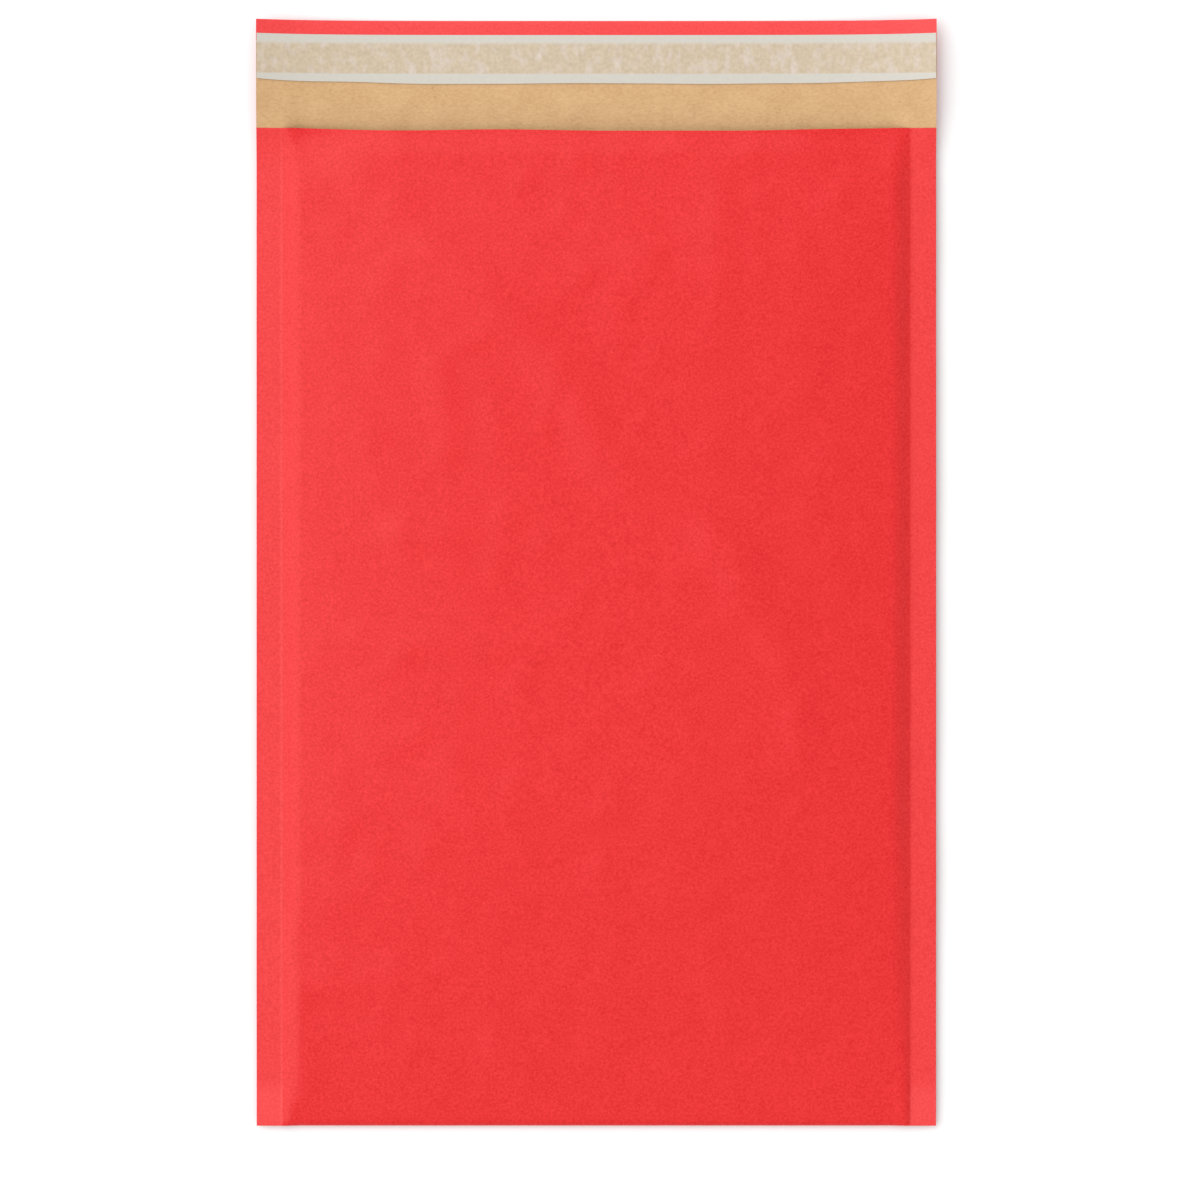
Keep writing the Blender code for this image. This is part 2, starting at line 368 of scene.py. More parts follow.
def foldedShell(name, outer, inner, foldRows, joined, materials):
    # Builds a closed sheet from its outer and inner faces, arrays of [column, row, xyz]. Rows run down
    # the front, round the fold and up the back. Columns outside joined have their two plies welded over
    # foldRows rows.
    columnCount, rowCount = outer.shape[:2]
    outerIds = np.arange(columnCount * rowCount).reshape(columnCount, rowCount)
    innerIds = outerIds + columnCount * rowCount
    first, last = joined
    quads, kinds = [], []

    def cells(ids, kind, columns, rows, flip=False):
        for i in columns:
            for k in rows:
                quad = (ids[i, k], ids[i, k + 1], ids[i + 1, k + 1], ids[i + 1, k])
                quads.append(quad[::-1] if flip else quad)
                kinds.append(kind)

    def strip(a, b, kind):
        for k in range(len(a) - 1):
            quads.append((a[k], a[k + 1], b[k + 1], b[k]))
            kinds.append(kind)

    cells(outerIds, 0, range(columnCount - 1), range(rowCount - 1))
    cells(innerIds, 1, range(first, last), range(foldRows - 1), True)
    cells(innerIds, 1, range(columnCount - 1), range(foldRows - 1, rowCount - 1), True)
    strip(outerIds[:, 0], innerIds[:, 0], 2)
    strip(innerIds[:, -1], outerIds[:, -1], 2)
    half = foldRows // 2
    for end in (0, columnCount - 1):
        frontEdge = outerIds[end, : half + 1]
        backEdge = outerIds[end, foldRows - 1 - half : foldRows][::-1]
        middleEdge = innerIds[end, foldRows - 1 - half : foldRows][::-1]
        flapEdges = (innerIds[end, foldRows - 1 :], outerIds[end, foldRows - 1 :])
        for a, b in ((frontEdge, middleEdge), (middleEdge, backEdge), flapEdges):
            strip(*((a, b) if end else (b, a)), 2)

    points = np.concatenate([outer.reshape(-1, 3), inner.reshape(-1, 3)])
    return weldPoints(meshPiece(name, points, quads, materials, kinds))


def meshPiece(name, points, faces, materials, kinds=None):
    mesh = bpy.data.meshes.new(name)
    mesh.from_pydata([tuple(p) for p in points], [], [tuple(int(i) for i in f) for f in faces])
    for material in materials:
        mesh.materials.append(material)
    if kinds is not None:
        mesh.polygons.foreach_set("material_index", kinds)
    piece = bpy.data.objects.new(name, mesh)
    bpy.context.scene.collection.objects.link(piece)
    return piece


def weldPoints(piece, sharpAngle=50):
    # merges double points, turns the faces outwards and shades the sheet smooth up to this angle
    bm = bmesh.new()
    bm.from_mesh(piece.data)
    bmesh.ops.remove_doubles(bm, verts=bm.verts, dist=0.001 * mm)
    bmesh.ops.delete(bm, geom=[v for v in bm.verts if not v.link_faces], context="VERTS")
    bmesh.ops.recalc_face_normals(bm, faces=bm.faces)
    bm.to_mesh(piece.data)
    bm.free()
    piece.data.shade_smooth()
    piece.data.set_sharp_from_angle(angle=radians(sharpAngle))
    return piece


# Materials


def linear(hexColour):
    parts = [int(hexColour[i : i + 2], 16) / 255 for i in (1, 3, 5)]
    return (*[c / 12.92 if c <= 0.04045 else ((c + 0.055) / 1.055) ** 2.4 for c in parts], 1.0)


def addNode(tree, kind, settings=None, links=None):
    # settings are the node's own properties, or values of its inputs by name or number
    node = tree.nodes.new(kind)
    for key, value in (settings or {}).items():
        if isinstance(key, str) and hasattr(node, key):
            setattr(node, key, value)
        else:
            node.inputs[key].default_value = value
    for key, source in (links or {}).items():
        tree.links.new(source, node.inputs[key])
    return node


def newMaterial(name, roughness, ior=1.5, specular=0.5):
    material = bpy.data.materials.new(name)
    material.use_nodes = True
    tree = material.node_tree
    shader = tree.nodes["Principled BSDF"]
    shader.inputs["Roughness"].default_value = roughness
    shader.inputs["IOR"].default_value = ior
    shader.inputs["Specular IOR Level"].default_value = specular
    return material, tree, shader


def printedPaperMaterial():
    # Kraft paper printed red all over, matt: short fibres and faint clouding show through the ink.
    # The fibres are drawn as coarse as the render can show
    material, tree, shader = newMaterial("printed_kraft_paper", 0.35, 1.5, 0.34)
    place = addNode(tree, "ShaderNodeTexCoord").outputs["Object"]
    axes = addNode(tree, "ShaderNodeSeparateXYZ", None, {0: place}).outputs
    fine = {"Scale": 1 / (0.85 * mm), "Detail": 3.0, "Roughness": 0.7}
    fibre = addNode(tree, "ShaderNodeTexNoise", fine, {"Vector": place}).outputs["Fac"]
    broad = {"Scale": 1 / (7 * mm), "Detail": 2.0, "Roughness": 0.5}
    cloud = addNode(tree, "ShaderNodeTexNoise", broad, {"Vector": place}).outputs["Fac"]
    both = {"operation": "MULTIPLY_ADD", 1: 0.12}
    blend = addNode(tree, "ShaderNodeMath", both, {0: cloud, 2: fibre}).outputs[0]
    share = addNode(tree, "ShaderNodeMapRange", {1: 0.36, 2: 0.76}, {0: blend}).outputs[0]
    # thick and thin ink on the padded panels and on the pressed seams; the third pair is a paler red, a
    # painted highlight on the hem and the seams' ends
    redsWithHighlight = []
    for thick, thin in (("#c70004", "#df292a"), ("#cf2223", "#e3393a"), ("#d73132", "#e74344")):
        settings = {"data_type": "RGBA", 6: linear(thick), 7: linear(thin)}
        redsWithHighlight.append(addNode(tree, "ShaderNodeMix", settings, {0: share}).outputs[2])
    side = addNode(tree, "ShaderNodeMath", {"operation": "ABSOLUTE"}, {0: axes["X"]}).outputs[0]
    edges = []
    for line, name, source in (
        (seamLine, "seamInk", side),
        (foldY, "footHighlight", axes["Y"]),
        (lipY, "hemHighlight", axes["Y"]),
    ):
        start, end = envelope[name]
        settings = {1: line + start, 2: line + end}
        edges.append(addNode(tree, "ShaderNodeMapRange", settings, {0: source}).outputs[0])
    seam, foot, hem = edges
    # the seams' bottom ends and the flap's printed side with its hem get the paler red: a painted highlight
    ends = addNode(tree, "ShaderNodeMath", {"operation": "MULTIPLY"}, {0: seam, 1: foot}).outputs[0]
    highlightShare = addNode(tree, "ShaderNodeMath", {"operation": "MAXIMUM"}, {0: ends, 1: hem}).outputs[0]
    plain = {"data_type": "RGBA"}
    pressed = addNode(tree, "ShaderNodeMix", plain, {0: seam, 6: redsWithHighlight[0], 7: redsWithHighlight[1]}).outputs[2]
    inkAndHighlight = addNode(tree, "ShaderNodeMix", plain, {0: highlightShare, 6: pressed, 7: redsWithHighlight[2]}).outputs[2]
    tree.links.new(inkAndHighlight, shader.inputs["Base Color"])
    bump = addNode(tree, "ShaderNodeBump", {"Strength": 0.8, "Distance": 0.05 * mm}, {"Height": fibre})
    tree.links.new(bump.outputs[0], shader.inputs["Normal"])
    return material


def bareKraftMaterial():
    # The sheet's unprinted side: brown kraft, matt, with long fibres and a few dark specks
    material, tree, shader = newMaterial("bare_kraft_paper", 0.62)
    place = addNode(tree, "ShaderNodeTexCoord").outputs["Object"]
    stretched = addNode(tree, "ShaderNodeMapping", {"Scale": (0.6, 1.0, 1.0)}, {"Vector": place}).outputs[0]
    fine = {"Scale": 1 / (0.8 * mm), "Detail": 3.0, "Roughness": 0.6}
    fibre = addNode(tree, "ShaderNodeTexNoise", fine, {"Vector": stretched}).outputs["Fac"]
    broad = {"Scale": 1 / (9 * mm), "Detail": 2.0, "Roughness": 0.5}
    cloud = addNode(tree, "ShaderNodeTexNoise", broad, {"Vector": place}).outputs["Fac"]
    both = {"operation": "MULTIPLY_ADD", 1: 0.5}
    blend = addNode(tree, "ShaderNodeMath", both, {0: cloud, 2: fibre}).outputs[0]
    share = addNode(tree, "ShaderNodeMapRange", {1: 0.5, 2: 1.0}, {0: blend}).outputs[0]
    browns = {"data_type": "RGBA", 6: linear("#ba9162"), 7: linear("#caa374")}
    brown = addNode(tree, "ShaderNodeMix", browns, {0: share}).outputs[2]
    small = {"Scale": 1 / (0.5 * mm), "Detail": 1.0, "Roughness": 0.5}
    specks = addNode(tree, "ShaderNodeTexNoise", small, {"Vector": stretched}).outputs["Fac"]
    dark = addNode(tree, "ShaderNodeMapRange", {1: 0.66, 2: 0.74, 4: 0.45}, {0: specks}).outputs[0]
    speckled = {"data_type": "RGBA", 7: linear("#8a643c")}
    final = addNode(tree, "ShaderNodeMix", speckled, {0: dark, 6: brown}).outputs[2]
    tree.links.new(final, shader.inputs["Base Color"])
    bump = addNode(tree, "ShaderNodeBump", {"Strength": 0.5, "Distance": 0.04 * mm}, {"Height": fibre})
    tree.links.new(bump.outputs[0], shader.inputs["Normal"])
    return material


def cutEdgeMaterial():
    # The sheet's cut edge: raw kraft, paler than its faces
    material, tree, shader = newMaterial("cut_kraft_edge", 0.8)
    place = addNode(tree, "ShaderNodeTexCoord").outputs["Object"]
    fine = {"Scale": 1 / (0.6 * mm), "Detail": 2.0, "Roughness": 0.5}
    fibre = addNode(tree, "ShaderNodeTexNoise", fine, {"Vector": place}).outputs["Fac"]
    pulps = {"data_type": "RGBA", 6: linear("#c9a27a"), 7: linear("#dcb994")}
    pulp = addNode(tree, "ShaderNodeMix", pulps, {0: fibre}).outputs[2]
    tree.links.new(pulp, shader.inputs["Base Color"])
    return material


def bubbleFilmMaterial():
    # Low-density polyethylene bubble film: clear with a milky haze, soft gloss
    material, tree, shader = newMaterial("polyethylene_bubble_film", 0.28, 1.51)
    place = addNode(tree, "ShaderNodeTexCoord").outputs["Object"]
    broad = {"Scale": 1 / (5 * mm), "Detail": 3.0, "Roughness": 0.5}
    haze = addNode(tree, "ShaderNodeTexNoise", broad, {"Vector": place}).outputs["Fac"]
    milks = {"data_type": "RGBA", 6: linear("#dfe3e4"), 7: linear("#f2f4f4")}
    milk = addNode(tree, "ShaderNodeMix", milks, {0: haze}).outputs[2]
    tree.links.new(milk, shader.inputs["Base Color"])
    shader.inputs["Alpha"].default_value = 0.45
    bump = addNode(tree, "ShaderNodeBump", {"Strength": 0.3, "Distance": 0.1 * mm}, {"Height": haze})
    tree.links.new(bump.outputs[0], shader.inputs["Normal"])
    return material


def adhesiveMaterial():
    # Pressure-sensitive hot-melt adhesive: amber, wet gloss
    material, tree, shader = newMaterial("hot_melt_adhesive", 0.25, 1.48)
    place = addNode(tree, "ShaderNodeTexCoord").outputs["Object"]
    streaks = {"Scale": 1 / (2 * mm), "Detail": 3.0, "Roughness": 0.5}
    streak = addNode(tree, "ShaderNodeTexNoise", streaks, {"Vector": place}).outputs["Fac"]
    ambers = {"data_type": "RGBA", 6: linear("#b88d5a"), 7: linear("#cda472")}
    amber = addNode(tree, "ShaderNodeMix", ambers, {0: streak}).outputs[2]
    tree.links.new(amber, shader.inputs["Base Color"])
    return material


def releaseFilmMaterial():
    # Silicone-coated release film: milky white, tan where the adhesive wets it, and dull lilac white in
    # small patches where it has let go
    material, tree, shader = newMaterial("siliconised_release_film", 0.38)
    place = addNode(tree, "ShaderNodeTexCoord").outputs["Object"]
    axes = addNode(tree, "ShaderNodeSeparateXYZ", None, {0: place}).outputs
    fine = {"Scale": 1 / (1.3 * mm), "Detail": 2.0, "Roughness": 0.5}
    blobs = addNode(tree, "ShaderNodeTexNoise", fine, {"Vector": place}).outputs["Fac"]
    tall = addNode(tree, "ShaderNodeMapping", {"Scale": (1.0, 0.55, 1.0)}, {"Vector": place}).outputs[0]
    broad = {"Scale": 1 / (2.6 * mm), "Detail": 2.0, "Roughness": 0.5}
    patches = addNode(tree, "ShaderNodeTexNoise", broad, {"Vector": tall}).outputs["Fac"]
    shades = []
    for dull, bright in (("#bab6ac", "#c3beb4"), ("#a99880", "#cab89e")):
        settings = {"data_type": "RGBA", 6: linear(dull), 7: linear(bright)}
        shades.append(addNode(tree, "ShaderNodeMix", settings, {0: blobs}).outputs[2])
    white, wet = shades
    dry = addNode(tree, "ShaderNodeMapRange", {1: 0.48, 2: 0.75, 4: 0.45}, {0: patches}).outputs[0]
    lilac = {"data_type": "RGBA", 7: linear("#cdc3c2")}
    wetPart = addNode(tree, "ShaderNodeMix", lilac, {0: dry, 6: wet}).outputs[2]
    edges = []
    for line, (start, end) in ((glueLow.y, liner["wetFoot"]), (glueHigh.y, liner["wetTop"])):
        settings = {1: line + start, 2: line + end}
        edges.append(addNode(tree, "ShaderNodeMapRange", settings, {0: axes["Y"]}).outputs[0])
    foot, top = edges
    held = addNode(tree, "ShaderNodeMath", {"operation": "MULTIPLY"}, {0: foot, 1: top}).outputs[0]
    plain = {"data_type": "RGBA"}
    final = addNode(tree, "ShaderNodeMix", plain, {0: held, 6: white, 7: wetPart}).outputs[2]
    tree.links.new(final, shader.inputs["Base Color"])
    bump = addNode(tree, "ShaderNodeBump", {"Strength": 0.25, "Distance": 0.04 * mm}, {"Height": blobs})
    tree.links.new(bump.outputs[0], shader.inputs["Normal"])
    return material


# The paper


def buildEnvelope():
    wallEnd = seamLine - spacing["wallSpan"]
    half = spread(halfWidth, seamLine, spacing["seam"]) + spread(seamLine, wallEnd, spacing["wall"])
    half = half + spread(wallEnd, 0.0, spacing["front"]) + [0.0]
    xs = mirrored(half)
    rows = bodyRows(lipY)
    x, y = np.meshgrid(xs, rows, indexing="ij")
    turnY = tipY - envelope["tipRun"]
    flapRows = spread(lipY, linerLow.y, spacing["flap"]) + spread(linerLow.y, hemY, spacing["underLiner"])
    flapRows = np.array(flapRows + spread(hemY, turnY, spacing["hem"]) + [turnY])
    flapX, flapY = np.meshgrid(xs, flapRows[1:], indexing="ij")
    hemRows = spread(turnY, hemY, spacing["underLiner"])[1:] + [hemY]
    hemX, hemRows = np.meshgrid(xs, hemRows, indexing="ij")
    turnX = xs[:, None] + np.zeros((1, tipRows))
    turn = np.linspace(-pi / 2, pi / 2, tipRows + 2)[1:-1][None, :]
    tipRadius = ply + envelope["hemGap"] / 2
    middle = backFace(turnX, turnY) + tipRadius

    def face(depth):
        front = frontPoints(x, y, depth)[:, ::-1]
        fold = foldPoints(xs, depth)
        back = backPoints(x, y, depth)
        flap = backPoints(flapX, flapY, depth)
        radius = tipRadius - depth
        bendY = drawn(turnX, turnY) + radius * np.cos(turn) * envelope["tipStretch"]
        bend = np.stack([turnX, bendY, middle + radius * np.sin(turn)], axis=-1)
        hem = backPoints(hemX, hemRows, 2 * tipRadius - depth)
        start = backPoints(xs[:, None], np.full((len(xs), 1), turnY), 2 * tipRadius - depth)
        return np.concatenate([front, fold, back, flap, bend, start, hem], axis=1)

    foldRows = 2 * len(rows) + foldSteps - 1
    first = int(np.argmin(np.abs(xs + seamLine)))
    last = int(np.argmin(np.abs(xs - seamLine)))
    materials = [printedPaperMaterial(), bareKraftMaterial(), cutEdgeMaterial()]
    return foldedShell("paper_sheet", face(0.0), face(ply), foldRows, (first, last), materials)


# The bubble lining


def buildFilm(material):
    edgeEnd = filmEdge - spacing["filmEdgeSpan"]
    half = spread(filmEdge, edgeEnd, spacing["filmEdge"]) + spread(edgeEnd, 0.0, spacing["film"]) + [0.0]
    xs = mirrored(half)
    rows = bodyRows(filmHigh.y)[::2]
    rows[-1] = filmHigh.y
    x, y = np.meshgrid(xs, rows, indexing="ij")
    depth = ply + lining["gap"]

    def face(thickness):
        inwards = filmEdge - np.abs(x)
        atEdge = lining["weld"] / lining["film"] + 0.5
        squeeze = thickness * mix(atEdge, 1.0, smooth(inwards / lining["edgeRun"]))
        front = frontPoints(x, y, depth + squeeze)[:, ::-1]
        back = backPoints(x, y, depth + squeeze)
        fold = foldPoints(xs, depth + thickness)
        return np.concatenate([front, fold, back], axis=1)

    outer, inner = face(0.0), face(lining["film"])
    edgeRows = 2 * len(rows) + foldSteps - 1
    for end in (0, -1):
        inner[end] = (outer[end] + outer[end][::-1]) / 2  # welded here
    return foldedShell("bubble_film", outer, inner, edgeRows, (0, len(xs) - 1), [material] * 3)


def bubbleSeats():
    # a honeycomb of places in plan, once for each wall
    pitch = lining["bubblePitch"]
    rowStep = pitch * 3**0.5 / 2
    reachX = filmEdge - lining["bubbleMargin"]
    bottomY, topY = noseY + lining["bubbleMargin"], filmHigh.y - lining["mouthMargin"]
    seats = []
    for row in range(int((topY - bottomY) / rowStep) + 1):
        shift = pitch / 2 if row % 2 else 0.0
        count = int(reachX / pitch) + 1
        for step in range(-count, count + 1):
            if abs(step * pitch + shift) <= reachX:
                seats.append((step * pitch + shift, topY - row * rowStep, 0.0))
    return seats


def middleSheet():
    # a sheet halfway between the two walls of the lining, somewhat larger than it
    xs = np.array(spread(-halfWidth, halfWidth, spacing["middleAcross"]) + [halfWidth])
    ys = np.array(spread(noseY - lining["middleMargin"], lipY, spacing["middleAlong"]) + [lipY])
    x, y = np.meshgrid(xs, ys, indexing="ij")
    z = (backFace(x, y) + frontFace(x, y)) / 2
    ids = np.arange(x.size).reshape(x.shape)
    corners = [ids[:-1, :-1], ids[1:, :-1], ids[1:, 1:], ids[:-1, 1:]]
    quads = np.stack([corner.ravel() for corner in corners], axis=-1)
    return meshPiece("lining_middle", np.stack([x, y, z], axis=-1).reshape(-1, 3), quads, [])


def bubbleTree(material):
    # A dome on every seat. Its foot is laid on the inner side of the film, found by a ray up or down
    # from the middle of the pouch, and it is no taller than half of the room there.
    tree = bpy.data.node_groups.new("bubbles_on_film", "GeometryNodeTree")
    face = tree.interface
    face.new_socket("Seats", in_out="INPUT", socket_type="NodeSocketGeometry")
    face.new_socket("Film", in_out="INPUT", socket_type="NodeSocketObject")
    face.new_socket("Middle", in_out="INPUT", socket_type="NodeSocketObject")
    inputs = (("Bubble Width", "bubbleWidth"), ("Full Height", "bubbleHeight"), ("Slack", "bubbleSlack"),
              ("Squareness", "squareness"), ("Width Jitter", "widthJitter"))
    for name, key in inputs:
        face.new_socket(name, in_out="INPUT", socket_type="NodeSocketFloat").default_value = lining[key]
    face.new_socket("Seed", in_out="INPUT", socket_type="NodeSocketInt").default_value = lining["seed"]
    face.new_socket("Finish", in_out="INPUT", socket_type="NodeSocketMaterial").default_value = material
    face.new_socket("Bubbles", in_out="OUTPUT", socket_type="NodeSocketGeometry")
    given = tree.nodes.new("NodeGroupInput").outputs

    ball = addNode(tree, "GeometryNodeMeshUVSphere", {"Segments": 10, "Rings": 6, "Radius": 1.0})
    spot = addNode(tree, "GeometryNodeInputPosition").outputs[0]
    axes = addNode(tree, "ShaderNodeSeparateXYZ", None, {0: spot}).outputs
    upper = addNode(tree, "ShaderNodeMath", {"operation": "MAXIMUM", 1: 0.0}, {0: axes["Z"]}).outputs[0]
    power = {"operation": "POWER"}
    crown = addNode(tree, "ShaderNodeMath", power, {0: upper, 1: given["Squareness"]}).outputs[0]
    domed = addNode(tree, "ShaderNodeCombineXYZ", None, {0: axes["X"], 1: axes["Y"], 2: crown}).outputs[0]
    dome = addNode(tree, "GeometryNodeSetPosition", None, {
        "Geometry": ball.outputs["Mesh"], "Position": domed})
    fromOne = {"operation": "SUBTRACT", 0: 1.0}
    least = addNode(tree, "ShaderNodeMath", fromOne, {1: given["Width Jitter"]}).outputs[0]
    chance = addNode(tree, "FunctionNodeRandomValue", {"data_type": "FLOAT", 3: 1.0}, {
        2: least, "Seed": given["Seed"]})
    times, minus = {"operation": "MULTIPLY"}, {"operation": "SUBTRACT"}
    halved = {"operation": "MULTIPLY", 1: 0.5}
    reach = addNode(tree, "ShaderNodeMath", halved, {0: given["Bubble Width"]}).outputs[0]
    wide = addNode(tree, "ShaderNodeMath", times, {0: reach, 1: chance.outputs[1]}).outputs[0]
    size = addNode(tree, "ShaderNodeCombineXYZ", {2: 1.0}, {0: wide, 1: wide}).outputs[0]
    domes = addNode(tree, "GeometryNodeInstanceOnPoints", None, {
        "Points": given["Seats"], "Instance": dome.outputs[0], "Scale": size})
    real = addNode(tree, "GeometryNodeRealizeInstances", None, {"Geometry": domes.outputs[0]})

    def hitAlongZ(target, origin, direction):
        source = addNode(tree, "GeometryNodeObjectInfo", {"transform_space": "RELATIVE"}, {
            "Object": given[target]})
        aim = {"Ray Direction": (0.0, 0.0, direction), "Ray Length": lining["rayLength"]}
        ray = addNode(tree, "GeometryNodeRaycast", aim, {
            "Target Geometry": source.outputs["Geometry"], "Source Position": origin})
        return ray.outputs["Hit Position"]

    over = {2: lining["rayStart"]}
    above = addNode(tree, "ShaderNodeCombineXYZ", over, {0: axes["X"], 1: axes["Y"]}).outputs[0]
    middle = hitAlongZ("Middle", above, -1.0)
    levels = []
    for direction in (1.0, -1.0):
        hit = hitAlongZ("Film", middle, direction)
        levels.append(addNode(tree, "ShaderNodeSeparateXYZ", None, {0: hit}).outputs["Z"])
    between = addNode(tree, "ShaderNodeMath", minus, {0: levels[0], 1: levels[1]}).outputs[0]
    share = addNode(tree, "ShaderNodeMath", halved, {0: between}).outputs[0]
    room = addNode(tree, "ShaderNodeMath", minus, {0: share, 1: given["Slack"]}).outputs[0]
    lower = {"operation": "MINIMUM"}
    tallest = addNode(tree, "ShaderNodeMath", lower, {0: room, 1: given["Full Height"]}).outputs[0]
    height = addNode(tree, "ShaderNodeMath", times, {0: tallest, 1: axes["Z"]}).outputs[0]
    walls = []
    for level, sign in zip(levels, (-1.0, 1.0)):
        signed = {"operation": "MULTIPLY", 1: sign}
        rise = addNode(tree, "ShaderNodeMath", signed, {0: height}).outputs[0]
        top = addNode(tree, "ShaderNodeMath", {"operation": "ADD"}, {0: level, 1: rise}).outputs[0]
        place = addNode(tree, "ShaderNodeCombineXYZ", None, {0: axes["X"], 1: axes["Y"], 2: top}).outputs[0]
        walls.append(addNode(tree, "GeometryNodeSetPosition", None, {
            "Geometry": real.outputs[0], "Position": place}))
    turned = addNode(tree, "GeometryNodeFlipFaces", None, {"Mesh": walls[0].outputs[0]})
    both = addNode(tree, "GeometryNodeJoinGeometry", None, {"Geometry": turned.outputs[0]})
    tree.links.new(walls[1].outputs[0], both.inputs["Geometry"])
    painted = addNode(tree, "GeometryNodeSetMaterial", None, {
        "Geometry": both.outputs[0], "Material": given["Finish"]})
    addNode(tree, "NodeGroupOutput", None, {"Bubbles": painted.outputs[0]})
    return tree


def buildBubbles(film, material):
    seats = meshPiece("bubble_seats", bubbleSeats(), [], [])
    middle = middleSheet()
    tree = bubbleTree(material)
    modifier = seats.modifiers.new("bubbles", "NODES")
    modifier.node_group = tree
    sockets = {item.name: item.identifier for item in tree.interface.items_tree if item.in_out == "INPUT"}
    modifier[sockets["Film"]] = film
    modifier[sockets["Middle"]] = middle
    modifier[sockets["Finish"]] = material
    modifier[sockets["Seed"]] = lining["seed"]
    evaluated = seats.evaluated_get(bpy.context.evaluated_depsgraph_get())
    mesh = bpy.data.meshes.new_from_object(evaluated)
    print("bubbles:", 2 * len(seats.data.vertices))
    seats.modifiers.remove(modifier)
    bpy.data.objects.remove(seats)
    bpy.data.objects.remove(middle)
    return mesh


def buildLining():
    material = bubbleFilmMaterial()
    film = buildFilm(material)
    bubbles = buildBubbles(film, material)
    bm = bmesh.new()
    bm.from_mesh(film.data)
    bm.from_mesh(bubbles)
    for face in bm.faces:
        face.material_index = 0
    bm.to_mesh(film.data)
    bm.free()
    film.data.materials.clear()
    film.data.materials.append(material)
    return film


# The strips on the flap

adhesive = {
    "thickness": 0.16 * mm,
    "gap": 0.05 * mm,  # to the flap
    "inset": 0.4 * mm,  # its ends inside the flap's edges
    "bevel": 0.3 * mm,
    "bevelShare": 0.3,  # of the thickness is left at its edges
    "edgeWave": 0.12 * mm,
    "edgeShift": 1.2,  # its long edges are drawn in by this many waves
    "waveSpans": (5 * mm, 30 * mm),
    "waveCount": 20,
    "seed": 11,
}
liner = {
    "thickness": 0.09 * mm,
    "gap": 0.06 * mm,
    "inset": 0.2 * mm,  # its ends inside the flap's edges
    "tabDroop": 0.1 * mm,  # the free edge hangs down towards the paper
    "footBow": 1.3 * mm,  # the free edge bows up towards its ends
    "footPower": 4.5,
    "footWave": 0.1 * mm,
    "waveSpans": (25 * mm, 80 * mm),
    "waveCount": 8,
    "rows": (4, 10, 4),  # below, on and above the adhesive
    "creaseHeight": 0.22 * mm,
    "creaseWidth": 0.5 * mm,
    "creaseFade": 3,  # a crease fades out over one part in this many of its length, round each end
    # where the tan of the wetted part begins and where it is full, from the adhesive's edges
    "wetFoot": (-0.2 * mm, 0.2 * mm),
    "wetTop": (0.3 * mm, -0.9 * mm),
    # thin creases: (x at the top, x at the bottom, y at the top, y at the bottom) in millimetres
    "creases": [
        (-110.8, -106.6, 186.1, 177.5), (-21.3, -16.7, 185.9, 179.2), (6.6, 9.4, 185.9, 177.3),
        (95.6, 98.8, 185.9, 182.1), (-7.2, -5.1, 184.5, 181.3),
    ],
    "seed": 5,
}


def stripPiece(name, xs, levels, material):
    # levels(x) gives, for each row across the strip, its y and its lower and upper heights above the
    # flap's underside
    rings = []
    for x in xs:
        under, over = [], []
        for y, low, high in levels(x):
            base = float(backFace(np.array(x), np.array(y)))
            place = float(drawn(x, y))
            under.append((x, place, base + low))
            over.append((x, place, base + high))
        rings.append(under + over[::-1])
    count = len(rings[0])
    points = [point for ring in rings for point in ring]
    faces = []
    for i in range(len(rings) - 1):
        for k in range(count):
            a, b = i * count + k, i * count + (k + 1) % count
            faces.append((a, b, b + count, a + count))
    rowCount = count // 2
    for start, flip in ((0, False), ((len(rings) - 1) * count, True)):
        for k in range(rowCount - 1):
            quad = (start + k, start + count - 1 - k, start + count - 2 - k, start + k + 1)
            faces.append(quad[::-1] if flip else quad)
    return weldPoints(meshPiece(name, points, faces, [material]), 60)


def buildAdhesive():
    xs = mirrored(spread(halfWidth - adhesive["inset"], 0.0, spacing["adhesive"]) + [0.0])
    spans, seed, count = adhesive["waveSpans"], adhesive["seed"], adhesive["waveCount"]
    wave = [ripple(xs, 0.0, spans, seed + end, count) for end in (0, 1)]
    low = ply + adhesive["gap"]
    high = low + adhesive["thickness"]

    def levels(x):
        i = int(np.argmin(np.abs(xs - x)))
        foot = glueLow.y + adhesive["edgeWave"] * (adhesive["edgeShift"] + wave[0][i])
        top = glueHigh.y - adhesive["edgeWave"] * (adhesive["edgeShift"] + wave[1][i])
        edge = adhesive["bevel"]
        thin = low + adhesive["bevelShare"] * (high - low)
        flat = [(y, low, high) for y in (foot + edge, mix(foot, top, 0.5), top - edge)]
        return [(foot, low, thin), *flat, (top, low, thin)]

    return stripPiece("adhesive_film", xs, levels, adhesiveMaterial())


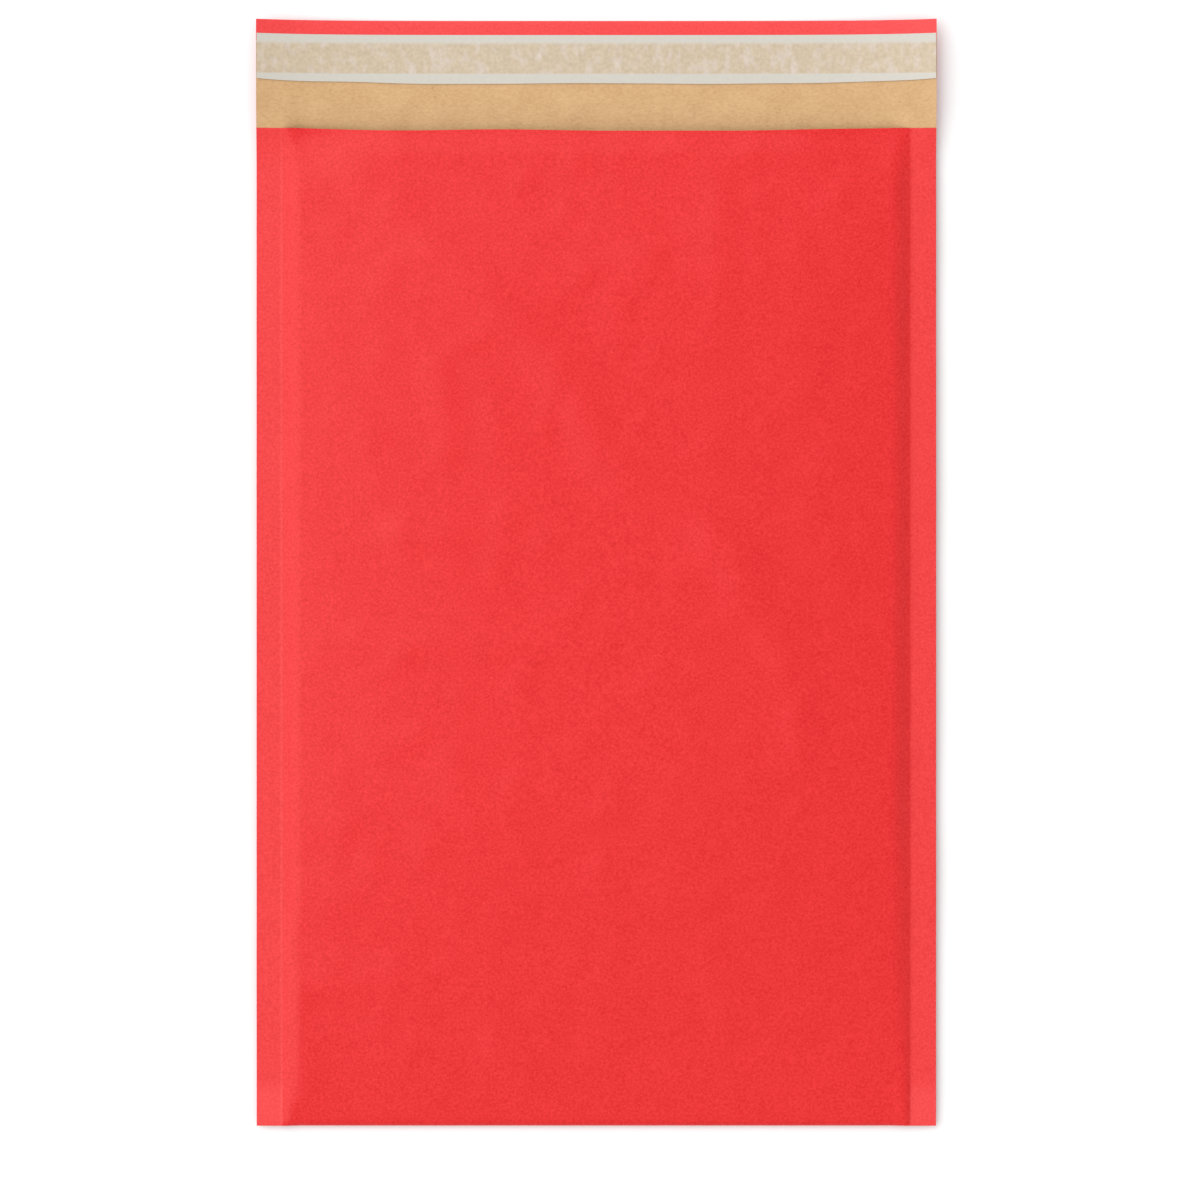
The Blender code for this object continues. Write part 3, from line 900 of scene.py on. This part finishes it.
def buildLiner():
    xs = mirrored(spread(halfWidth - liner["inset"], 0.0, spacing["liner"]) + [0.0])
    hemTop = 2 * ply + envelope["hemGap"]
    overGlue = ply + adhesive["gap"] + adhesive["thickness"]
    rest = max(hemTop, overGlue) + liner["gap"]
    footWave = ripple(xs, 0.0, liner["waveSpans"], liner["seed"], liner["waveCount"])

    def levels(x):
        i = int(np.argmin(np.abs(xs - x)))
        foot = linerLow.y + liner["footBow"] * (abs(x) / halfWidth) ** liner["footPower"]
        foot = foot + liner["footWave"] * (1 + footWave[i])
        ends = [foot, glueLow.y, glueHigh.y, linerHigh.y]
        stations = zip(ends, ends[1:], liner["rows"])
        rows = [mix(a, b, k / count) for a, b, count in stations for k in range(count)] + [linerHigh.y]
        result = []
        for y in rows:
            low = rest - liner["tabDroop"] * smooth((glueLow.y - y) / (glueLow.y - linerLow.y))
            for topX, footX, topY, footY in liner["creases"]:
                share = (topY * mm - y) / ((topY - footY) * mm)
                line = mix(topX, footX, share) * mm
                fade = smooth(share * liner["creaseFade"] + 0.5)
                fade = fade * smooth((1 - share) * liner["creaseFade"] + 0.5)
                ridge = float(np.exp(-(((x - line) / liner["creaseWidth"]) ** 2)))
                low += liner["creaseHeight"] * float(fade) * ridge
            result.append((y, float(low), float(low) + liner["thickness"]))
        return result

    return stripPiece("release_film", xs, levels, releaseFilmMaterial())


# The studio

studio = {
    "surround": 0.875,  # even light from all sides
    "softboxGlow": 1.50,
    "softboxSize": (10.2, 9.6),
    "softboxTilt": 41,  # degrees from straight above, towards the left
    "softboxAway": 6.4,  # its distance on that line
    "softboxUp": 2.0,  # and this much further towards the flap
    "floor": "#f0f0f0",
    "floorSize": 8.0,
}
view = {
    "above": 2.0,  # height over the plane of the seams
    "across": 1.29 * mm,  # right of the centre line
    "alongFromFold": 185.75 * mm,
    "frameWidth": 423.84 * mm,  # what the picture spans on that plane
    "sensor": 36.0,
}


def buildStudio():
    scene = bpy.context.scene
    scene.view_settings.view_transform = "Standard"
    world = bpy.data.worlds.new("surround")
    scene.world = world
    world.use_nodes = True
    background = world.node_tree.nodes["Background"]
    background.inputs["Color"].default_value = (1.0, 1.0, 1.0, 1.0)
    background.inputs["Strength"].default_value = studio["surround"]

    size = studio["floorSize"] / 2
    corners = [(-size, -size, 0), (size, -size, 0), (size, size, 0), (-size, size, 0)]
    floor = meshPiece("floor", corners, [(0, 1, 2, 3)], [])
    material, tree, shader = newMaterial("matt_white_backdrop", 1.0, 1.5, 0.0)
    shader.inputs["Base Color"].default_value = linear(studio["floor"])
    floor.data.materials.append(material)

    wide, tall = studio["softboxSize"]
    lamp = bpy.data.lights.new("softbox", "AREA")
    lamp.shape = "RECTANGLE"
    lamp.size, lamp.size_y = wide, tall
    lamp.energy = studio["softboxGlow"] * pi * wide * tall
    softbox = bpy.data.objects.new("softbox", lamp)
    tilt = radians(studio["softboxTilt"])
    away = studio["softboxAway"]
    softbox.location = (-away * sin(tilt), studio["softboxUp"], away * cos(tilt))
    softbox.rotation_mode = "QUATERNION"
    softbox.rotation_quaternion = Vector(softbox.location).to_track_quat("Z", "Y")
    scene.collection.objects.link(softbox)

    lens = bpy.data.cameras.new("camera")
    lens.sensor_width = view["sensor"]
    lens.lens = view["sensor"] * view["above"] / view["frameWidth"]
    camera = bpy.data.objects.new("camera", lens)
    height = envelope["seamHeight"] + view["above"]
    camera.location = (view["across"], foldY + view["alongFromFold"], height)
    scene.collection.objects.link(camera)
    scene.camera = camera


pieces = [
    (buildEnvelope, "outer_envelope", "red_paper"),
    (buildLining, "bubble_lining", "bubble_film"),
    (buildAdhesive, "adhesive_strip", "adhesive"),
    (buildLiner, "release_liner", "liner_film"),
]
for build, node, slotName in pieces:
    piece = build()
    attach(piece, "root")
    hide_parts(node)
    print(piece.name, "made:", len(piece.data.polygons), "faces")
buildStudio()
print("studio made")
